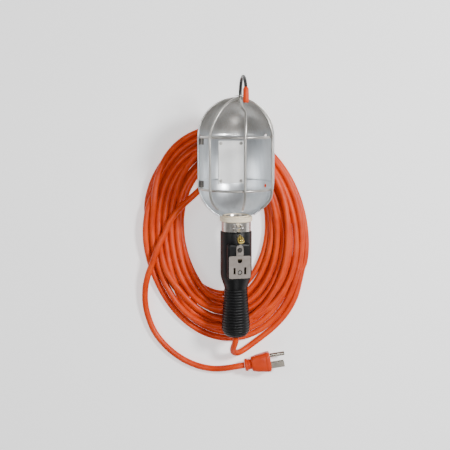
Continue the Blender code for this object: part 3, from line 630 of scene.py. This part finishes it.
BARREL_R = 18.5
BARREL_TOP_Z = -17.4
RIB_TOP_Z = -86.0
RIB_PITCH = 3.3
RIB_COUNT = 17
RIB_DEPTH = 0.75
# Places along one rib's pitch, each with its share of the groove's depth
RIB_SHAPE = ((0.0, 1.0), (0.14, 0.35), (0.32, 0.0), (0.62, 0.0), (0.82, 0.35), (0.96, 1.0))
BOSS = {"half_w": 14.0, "top": -29.5, "low": -73.0, "front": 18.8}
TOGGLE_Z = -21.0


def grip_radius(z):
    """The grip's swelling outline under its ribs."""
    depths = [84.5, 92.0, 103.0, 117.0, 129.0, 134.5, 139.2, 142.6, 144.2]
    radii = [13.9, 14.0, 14.7, 15.8, 16.8, 16.7, 15.4, 12.6, 8.6]
    return float(np.interp(-z, depths, radii))


def make_handle():
    """Barrel, outlet boss and ribbed grip in one rubber skin."""
    outer = [(BARREL_R - 3.0, BARREL_TOP_Z), (BARREL_R - 0.9, BARREL_TOP_Z)]
    outer += [(BARREL_R - 0.3, BARREL_TOP_Z - 0.3), (BARREL_R, BARREL_TOP_Z - 0.9)]
    outer += [(BARREL_R, -66.0), (18.3, -69.0), (17.8, -72.0), (17.0, -75.0)]
    outer += [(16.0, -78.0), (14.9, -81.0), (14.2, -83.0), (13.8, -84.8)]
    for rib in range(RIB_COUNT):
        for part, depth in RIB_SHAPE:
            z = RIB_TOP_Z - (rib + part) * RIB_PITCH
            outer.append((grip_radius(z) - depth * RIB_DEPTH, z))
    outer += [(12.2, -142.8), (10.4, -143.7), (8.4, -144.3), (6.2, -144.5), (5.0, -144.2)]
    inner = [(4.3, -143.0), (4.2, -138.0), (4.2, -80.0), (15.5, -76.0), (15.5, BARREL_TOP_Z)]
    body = revolve("handle", outer + inner, 112, HANDLE_FRAME, closed=True)
    front, half = BOSS["front"], BOSS["half_w"]
    boss = block("boss", (-half, -front, BOSS["low"]), (half, -6, BOSS["top"]), HANDLE_FRAME, 3.6, 8)
    room = [(0, -12), (15.4, -12), (15.4, -70), (11, -77), (0, -77)]
    hollow = revolve("hollow", room, 64, HANDLE_FRAME)
    pocket = block("pocket", (-11.6, -front - 4, -69.5), (11.6, -3, -45.1), HANDLE_FRAME)
    bushing = bar("bushing", (0, -10, TOGGLE_Z), (0, -24, TOGGLE_Z), 2.9, HANDLE_FRAME)
    cut(body, [boss], "UNION")
    cut(body, [hollow, pocket, bushing])
    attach(body, "light")
    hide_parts("handle_body")
    return body


handle = make_handle()

# ---------------------------------------------------------------- lever and collar


def fluted(name, profile, steps, flutes, depth, span, matrix):
    """A turned profile whose radius ripples round the axis between two heights."""
    bm = bmesh.new()
    rows = []
    for step in range(steps):
        angle = 2 * math.pi * step / steps
        ripple = depth * (0.5 - 0.5 * math.cos(flutes * angle))
        row = []
        for radius, z in profile:
            r = radius - ripple if span[0] <= z <= span[1] and radius > 1.0 else radius
            row.append(bm.verts.new((r * math.cos(angle) * MM, r * math.sin(angle) * MM, z * MM)))
        rows.append(row)
    for one in range(steps):
        first, second = rows[one], rows[(one + 1) % steps]
        for index in range(len(profile) - 1):
            bm.faces.new((first[index], first[index + 1], second[index + 1], second[index]))
    bmesh.ops.remove_doubles(bm, verts=bm.verts, dist=1e-7)
    bmesh.ops.recalc_face_normals(bm, faces=bm.faces)
    mesh = bpy.data.meshes.new(name)
    bm.to_mesh(mesh)
    bm.free()
    mesh.shade_smooth()
    mesh.set_sharp_from_angle(angle=math.radians(SMOOTH_DEG))
    return link(name, mesh, matrix)


TOGGLE_H = 20.2
TOGGLE_REST_DEG = 42.0
TOGGLE_FRAME = (
    HANDLE_FRAME @ Matrix.Translation(Vector((0, -TOGGLE_H, TOGGLE_Z)) * MM)
    @ Matrix.Rotation(math.radians(90 + TOGGLE_REST_DEG), 4, "X")
)


def make_lever():
    """The brass switch lever: thin neck, long fluted knob and a bright domed end."""
    profile = [(0, 9.3), (1.6, 9.27), (2.8, 9.15), (3.3, 8.95), (3.65, 8.55), (3.75, 8.1), (3.65, 7.7)]
    profile += [(3.5, 7.5), (3.6, 7.2), (3.6, 6.0), (3.55, 5.0), (3.5, 4.0), (3.45, 3.0), (3.3, 2.3)]
    profile += [(2.7, 1.8), (1.8, 1.6), (1.4, 1.3), (1.3, 0.8), (1.45, 0.0), (1.2, -1.0), (0.6, -1.4)]
    profile += [(0, -1.4)]
    lever = fluted("fluted_lever", profile, 160, 10, 0.7, (2.3, 7.2), TOGGLE_FRAME)
    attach(lever, "toggle")
    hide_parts("switch_toggle")
    return lever


def make_ring():
    """The cream insulating ring with softened lips and a shallow groove."""
    ring = revolve("cream_ring", [
        (15.5, 0.0), (17.9, 0.0), (18.6, -0.15), (19.0, -0.5), (19.1, -1.1), (19.1, -2.3), (18.85, -2.6),
        (18.85, -2.9), (19.1, -3.2), (19.1, -4.8), (18.95, -5.3), (18.4, -5.6), (17.6, -5.7), (16.3, -5.7),
        (16.2, -16.6), (15.5, -16.6),
    ], 128, HANDLE_FRAME, closed=True)
    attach(ring, "light")
    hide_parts("insulating_sleeve")
    return ring


lever = make_lever()
cream_ring = make_ring()

# ---------------------------------------------------------------- materials


class Surface:
    """A Principled material under construction, with helpers for its node pattern."""

    def __init__(self, name, metallic=0.0):
        self.material = bpy.data.materials.new(name)
        self.material.use_nodes = True
        self.nodes = self.material.node_tree.nodes
        self.links = self.material.node_tree.links
        self.shader = self.nodes["Principled BSDF"]
        self.shader.inputs["Metallic"].default_value = metallic
        self.place = self.nodes.new("ShaderNodeTexCoord").outputs["Object"]
        self.bumps = None

    def stretched(self, scale):
        """The object's own coordinates, scaled along each axis."""
        mapping = self.nodes.new("ShaderNodeMapping")
        mapping.inputs["Scale"].default_value = scale
        self.links.new(self.place, mapping.inputs["Vector"])
        return mapping.outputs["Vector"]

    def noise(self, scale, detail=3.0, rough=0.5, stretch=(1, 1, 1)):
        node = self.nodes.new("ShaderNodeTexNoise")
        node.inputs["Scale"].default_value = scale
        node.inputs["Detail"].default_value = detail
        node.inputs["Roughness"].default_value = rough
        self.links.new(self.stretched(stretch), node.inputs["Vector"])
        return node.outputs["Fac"]

    def ramp(self, value, stops):
        node = self.nodes.new("ShaderNodeValToRGB")
        ramp = node.color_ramp
        while len(ramp.elements) < len(stops):
            ramp.elements.new(0.5)
        for element, (place, colour) in zip(ramp.elements, stops):
            element.position = place
            element.color = (*colour, 1.0)
        self.links.new(value, node.inputs["Fac"])
        return node.outputs["Color"]

    def spread(self, value, low, high):
        """Brings a noise's usual range to another one."""
        node = self.nodes.new("ShaderNodeMapRange")
        node.inputs["From Min"].default_value = 0.3
        node.inputs["From Max"].default_value = 0.7
        node.inputs["To Min"].default_value = low
        node.inputs["To Max"].default_value = high
        self.links.new(value, node.inputs["Value"])
        return node.outputs["Result"]

    def colour(self, output):
        self.links.new(output, self.shader.inputs["Base Color"])

    def warm_beyond(self, low, high, tint, lines, stretch):
        """Tints the base colour beyond a place on +Y, stronger along fine drawn lines."""
        before = self.shader.inputs["Base Color"].links[0].from_socket
        parts = self.nodes.new("ShaderNodeSeparateXYZ")
        self.links.new(self.place, parts.inputs["Vector"])
        rise = self.nodes.new("ShaderNodeMapRange")
        rise.interpolation_type = "SMOOTHSTEP"
        rise.inputs["From Min"].default_value = low
        rise.inputs["From Max"].default_value = high
        self.links.new(parts.outputs["Y"], rise.inputs["Value"])
        share = self.nodes.new("ShaderNodeMath")
        share.operation = "MULTIPLY"
        self.links.new(rise.outputs["Result"], share.inputs[0])
        self.links.new(self.spread(self.noise(lines, 3, 0.6, stretch), 0.45, 1.0), share.inputs[1])
        mix = self.nodes.new("ShaderNodeMix")
        mix.data_type = "RGBA"
        mix.blend_type = "MULTIPLY"
        mix.inputs[7].default_value = (*tint, 1.0)
        self.links.new(share.outputs["Value"], mix.inputs[0])
        self.links.new(before, mix.inputs[6])
        self.colour(mix.outputs[2])

    def roughness(self, output):
        self.links.new(output, self.shader.inputs["Roughness"])

    def bump(self, height, depth_mm):
        """Adds a layer of relief to the ones before it."""
        node = self.nodes.new("ShaderNodeBump")
        node.inputs["Distance"].default_value = depth_mm * MM
        node.inputs["Strength"].default_value = 1.0
        self.links.new(height, node.inputs["Height"])
        if self.bumps is not None:
            self.links.new(self.bumps, node.inputs["Normal"])
        self.bumps = node.outputs["Normal"]
        self.links.new(self.bumps, self.shader.inputs["Normal"])


def simple(name, dark, light, rough, metallic=0.0, grain=900.0, depth=0.03, patch=60.0):
    """Two close tones in soft patches, uneven gloss and a fine grain."""
    surface = Surface(name, metallic)
    surface.colour(surface.ramp(surface.noise(patch, 4, 0.6), [(0.3, dark), (0.7, light)]))
    surface.roughness(surface.spread(surface.noise(patch * 2, 2), *rough))
    if depth:
        surface.bump(surface.noise(grain, 2, 0.5), depth)
    return surface.material


def steel_sheet():
    """Dull plated sheet: long drawn streaks, cloudy gloss, and a warm tint towards the dome."""
    surface = Surface("plated_sheet", 0.92)
    streak = surface.noise(48, 4, 0.55, (4.0, 0.3, 4.0))
    surface.colour(surface.ramp(streak, [
        (0.25, (0.56, 0.585, 0.61)), (0.5, (0.63, 0.655, 0.68)), (0.8, (0.70, 0.725, 0.75)),
    ]))
    surface.roughness(surface.spread(surface.noise(60, 3, 0.5), 0.30, 0.38))
    surface.warm_beyond(0.214, 0.226, (0.84, 0.75, 0.65), 260, (3.0, 0.10, 3.0))
    surface.bump(surface.noise(22, 1), 0.10)
    return surface.material


def ribbed_rubber():
    """Black rubber: fine mould texture, greyer patches and soft gloss."""
    surface = Surface("black_rubber", 0.0)
    surface.shader.inputs["Specular IOR Level"].default_value = 0.25
    surface.colour(surface.ramp(surface.noise(70, 5, 0.6), [
        (0.3, (0.002, 0.002, 0.002)), (0.6, (0.0035, 0.0035, 0.004)), (0.85, (0.008, 0.0075, 0.0075)),
    ]))
    surface.roughness(surface.spread(surface.noise(160, 4), 0.36, 0.48))
    surface.bump(surface.noise(1500, 2), 0.03)
    surface.bump(surface.noise(120, 3), 0.12)
    return surface.material


def cord_jacket(name, dark, mid, light):
    """Extruded vinyl: orange with slight lay marks, scuffs and waxy gloss."""
    surface = Surface(name, 0.0)
    surface.shader.inputs["Subsurface Weight"].default_value = 0.06
    surface.shader.inputs["Subsurface Radius"].default_value = (0.004, 0.0012, 0.0006)
    surface.shader.inputs["Specular IOR Level"].default_value = 0.22
    surface.colour(surface.ramp(surface.noise(38, 5, 0.6), [(0.28, dark), (0.5, mid), (0.75, light)]))
    surface.roughness(surface.spread(surface.noise(240, 4, 0.6), 0.30, 0.46))
    surface.bump(surface.noise(170, 3, 0.5), 0.10)
    surface.bump(surface.noise(1300, 2), 0.02)
    return surface.material


def paint(things, material):
    """One material on own pieces, or on carried-over nodes by name."""
    for thing in things:
        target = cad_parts[thing] if isinstance(thing, str) else thing
        target.data.materials.clear()
        target.data.materials.append(material)


def soften(names, width_mm):
    """Small rounded edges on carried-over nodes, for their highlights."""
    for name in names:
        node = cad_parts[name]
        edge = node.modifiers.new("edge", "BEVEL")
        edge.width = width_mm * MM
        edge.segments = 2
        edge.limit_method = "ANGLE"
        edge.angle_limit = math.radians(SMOOTH_DEG)


ORANGE_TONES = ((0.50, 0.032, 0.002), (0.64, 0.050, 0.003), (0.76, 0.078, 0.006))
ZINC = simple("bright_zinc", (0.40, 0.385, 0.36), (0.52, 0.505, 0.475), (0.34, 0.40), 1.0, 700, 0.0, 40)
NICKEL = simple("nickel_plate", (0.42, 0.39, 0.36), (0.62, 0.59, 0.55), (0.24, 0.36), 1.0, 500, 0.0, 40)
BRASS = simple("turned_brass", (0.46, 0.34, 0.08), (0.74, 0.60, 0.22), (0.18, 0.30), 1.0, 600, 0.0, 40)
SHEET_STEEL = steel_sheet()
RUBBER = ribbed_rubber()
JACKET = cord_jacket("orange_jacket", *ORANGE_TONES)
PLUG_VINYL = cord_jacket("orange_moulding", (0.46, 0.030, 0.004), (0.58, 0.044, 0.006), (0.66, 0.062, 0.010))
CREAM = simple("cream_insulator", (0.74, 0.62, 0.43), (0.86, 0.76, 0.58), (0.35, 0.55), 0.0, 900, 0.03, 80)
WHITE = simple("white_plate", (0.80, 0.80, 0.79), (0.90, 0.90, 0.89), (0.35, 0.5), 0.0, 800, 0.02, 50)
BLACK_WIRE = simple("black_wire", (0.010, 0.010, 0.011), (0.035, 0.033, 0.032), (0.25, 0.42), 0.0, 900, 0.03, 120)
TAN = simple("tan_outlet", (0.20, 0.170, 0.15), (0.27, 0.235, 0.21), (0.32, 0.48), 0.0, 1100, 0.03, 90)
DARK_STEEL = simple("dark_steel", (0.06, 0.055, 0.05), (0.16, 0.15, 0.14), (0.28, 0.42), 1.0, 700, 0.0, 50)
BLADE_METAL = simple("plug_blade", (0.22, 0.20, 0.17), (0.36, 0.33, 0.28), (0.30, 0.40), 1.0, 600, 0.0, 40)
# Brass for the receptacle's contacts: a brass hue, with its tone darkened as painted shade inside the slots
SLOT_SHADED_BRASS = simple("brass_with_painted_slot_shade", (0.16, 0.12, 0.05), (0.26, 0.20, 0.09), (0.35, 0.5), 1.0, 600, 0.0, 40)
STRAP_STEEL = simple("worn_strap", (0.26, 0.23, 0.205), (0.38, 0.34, 0.31), (0.30, 0.45), 0.7, 700, 0.008, 110)
PHENOLIC = simple("dark_phenolic", (0.020, 0.016, 0.015), (0.045, 0.035, 0.030), (0.3, 0.5), 0.0, 900, 0.03, 80)
LEAD_BLACK = simple("black_lead", (0.012, 0.012, 0.013), (0.03, 0.03, 0.03), (0.35, 0.5))
LEAD_WHITE = simple("white_lead", (0.72, 0.72, 0.70), (0.84, 0.84, 0.82), (0.35, 0.5))
LEAD_GREEN = simple("green_lead", (0.02, 0.20, 0.06), (0.04, 0.30, 0.10), (0.35, 0.5))

paint([cord], JACKET)
paint([plug], PLUG_VINYL)
paint([reflector, rim, "neck_strap"], SHEET_STEEL)
paint(door + ["latch_plate"], ZINC)
paint(["hinge_lug_lower", "hinge_lug_upper", "strap_screw"], DARK_STEEL)
paint([hook], BLACK_WIRE)
paint([hook_tip, "cord_in_handle"], JACKET)
paint([handle], RUBBER)
paint([lever], BRASS)
paint([cream_ring], CREAM)
paint(["socket_body"], CREAM)
paint(["rating_plate"], WHITE)
paint(["clamp_band", "clamp_screw", "clamp_nut", "switch_bushing", "switch_nut"], NICKEL)
paint(["mounting_strap"], STRAP_STEEL)
paint(["hook_washer", "hook_retainer", "face_rivet", "cord_clamp"], ZINC)
paint([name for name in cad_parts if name.startswith("plate_rivet_")], ZINC)
paint(["screw_shell", "centre_contact"], NICKEL)
paint(["blade_line", "blade_neutral", "ground_pin"], BLADE_METAL)
# The contacts' darkened brass is painted shade inside the receptacle's slots
paint([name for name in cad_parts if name.startswith("contact_")], SLOT_SHADED_BRASS)
paint(["receptacle_face"], TAN)
paint(["switch_body", "receptacle_body"], PHENOLIC)
paint(["lead_line", "lead_switched"], LEAD_BLACK)
paint(["lead_neutral"], LEAD_WHITE)
paint(["lead_ground"], LEAD_GREEN)
soften(["latch_plate", "clamp_band", "mounting_strap", "receptacle_face", "blade_line", "blade_neutral"], 0.2)
soften(["ground_pin", "clamp_nut", "clamp_screw", "strap_screw"], 0.25)

# ---------------------------------------------------------------- stage and light

FLOOR_GLOW = 0.60
WORLD_STRENGTH = 0.20
# Each area light's name, place in metres, diameter in metres and power in watts
LIGHTS = (
    ("key", (0.80, 0.45, 1.05), 0.26, 21.0),
    ("overhead", (0.02, 0.10, 1.6), 0.14, 7.0),
    ("fill", (-0.9, 0.3, 0.9), 0.5, 2.5),
    ("front", (0.1, -1.1, 0.9), 0.5, 2.5),
)


def make_stage():
    """A plain pale floor, which glows a little so that it stays pale."""
    bpy.ops.mesh.primitive_plane_add(size=6.0, location=(0, 0.1, 0))
    floor = bpy.context.object
    floor.name = "floor"
    surface = Surface("pale_floor", 0.0)
    surface.colour(surface.ramp(surface.noise(6, 2), [(0.3, (0.90, 0.90, 0.90)), (0.7, (0.92, 0.92, 0.92))]))
    surface.shader.inputs["Roughness"].default_value = 0.8
    surface.shader.inputs["Specular IOR Level"].default_value = 0.1
    surface.shader.inputs["Emission Color"].default_value = (1.0, 1.0, 1.0, 1.0)
    surface.shader.inputs["Emission Strength"].default_value = FLOOR_GLOW
    floor.data.materials.append(surface.material)


def area_light(name, at, size, power):
    """A round soft light turned to the part."""
    data = bpy.data.lights.new(name, "AREA")
    data.shape = "DISK"
    data.size = size
    data.energy = power
    light = bpy.data.objects.new(name, data)
    light.location = at
    light.rotation_euler = (Vector((0, 0.1, 0)) - Vector(at)).to_track_quat("-Z", "Y").to_euler()
    bpy.context.scene.collection.objects.link(light)


def make_light():
    """The four area lights and a dim even world."""
    for name, at, size, power in LIGHTS:
        area_light(name, at, size, power)
    world = bpy.data.worlds.new("studio")
    bpy.context.scene.world = world
    world.use_nodes = True
    background = world.node_tree.nodes["Background"]
    background.inputs["Color"].default_value = (1.0, 1.0, 1.0, 1.0)
    background.inputs["Strength"].default_value = WORLD_STRENGTH


make_stage()
make_light()
